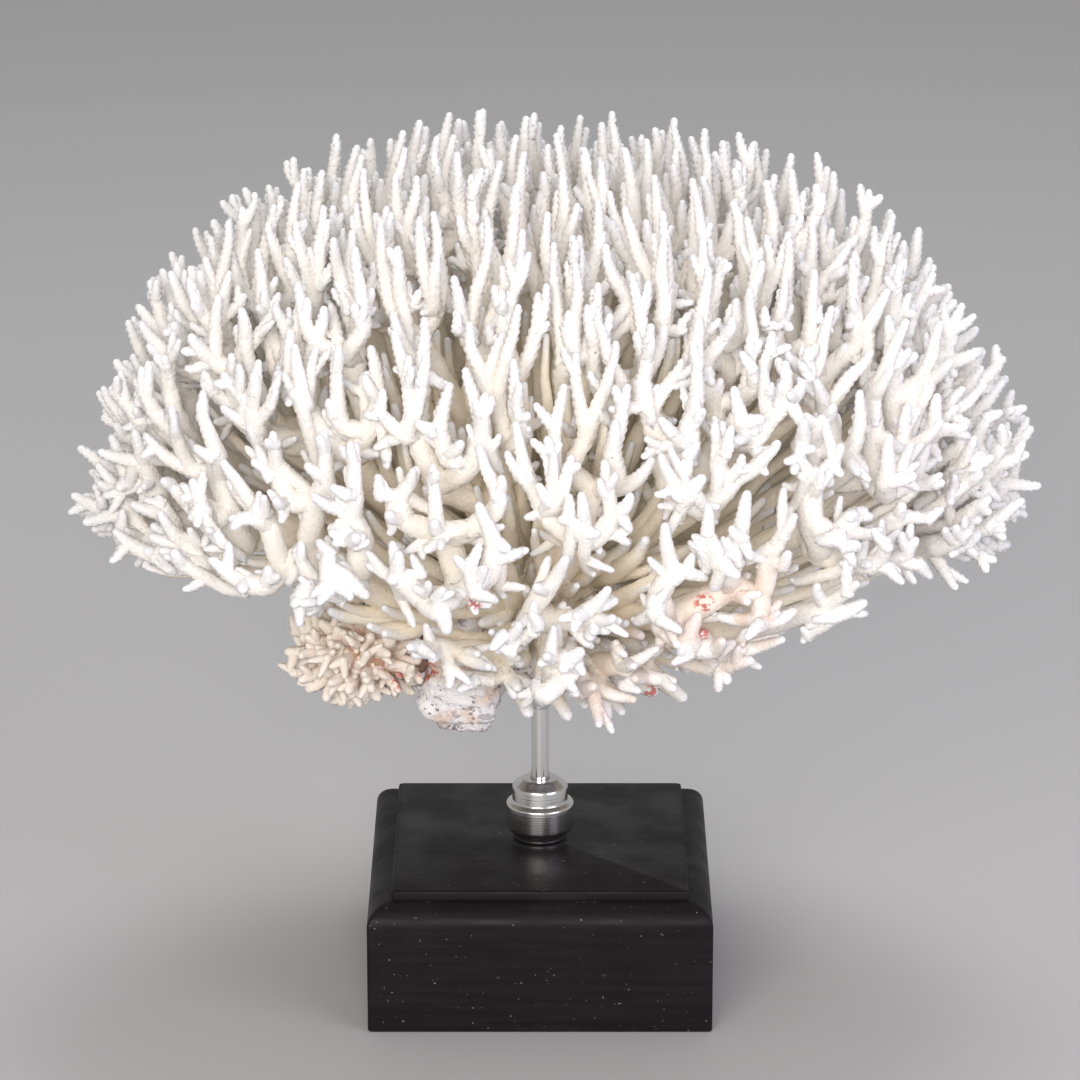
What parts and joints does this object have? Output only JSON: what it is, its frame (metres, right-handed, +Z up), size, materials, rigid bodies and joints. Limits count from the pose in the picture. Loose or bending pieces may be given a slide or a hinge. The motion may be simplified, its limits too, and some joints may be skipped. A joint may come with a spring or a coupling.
{
  "type": "branching coral",
  "caption": "White branching coral colony on a dead rock holdfast, held by a polished rod and turned collar on a square black moulded wooden base.",
  "frame": {"origin": "middle of the wooden base's underside", "axes": "+Z up along the rod, -Y towards the viewer of the picture, +X to that viewer's right, along the coral's longest side"},
  "size_m": [0.4262, 0.2977, 0.384],
  "materials": {
    "coral": "matt, dry, finely ribbed and granular",
    "cluster": "matt, cream to brown and pink in the recesses",
    "holdfast": "rough, grey-white with cream, rust and red stains",
    "glue": "cloudy translucent glue",
    "steel": "polished rod, turned collar",
    "black_wood": "satin black paint with dust and worn edges"
  },
  "bodies": {
    "root": {"branch_01": "coral", "branch_02": "coral", "branch_03": "coral", "branch_04": "coral", "branch_05": "coral", "branch_06": "coral", "branch_07": "coral", "branch_08": "coral", "branch_09": "coral", "branch_10": "coral", "branch_11": "coral", "branch_12": "coral", "branch_13": "coral", "branch_14": "coral", "branch_15": "coral", "branch_16": "coral", "branch_17": "coral", "branch_18": "coral", "branch_19": "coral", "branch_20": "coral", "branch_21": "coral", "branch_22": "coral", "branch_23": "coral", "branch_24": "coral", "branch_25": "coral", "branch_26": "coral", "branch_27": "coral", "branch_28": "coral", "branch_29": "coral", "branch_30": "coral", "branch_31": "coral", "branch_32": "coral", "branch_33": "coral", "branch_34": "coral", "branch_35": "coral", "branch_36": "coral", "coral_cluster": "cluster", "coral_holdfast": "holdfast", "glue_bead": "glue", "stand_rod": "steel", "stand_collar": "steel", "wood_base": "black_wood"}
  },
  "joints": []
}
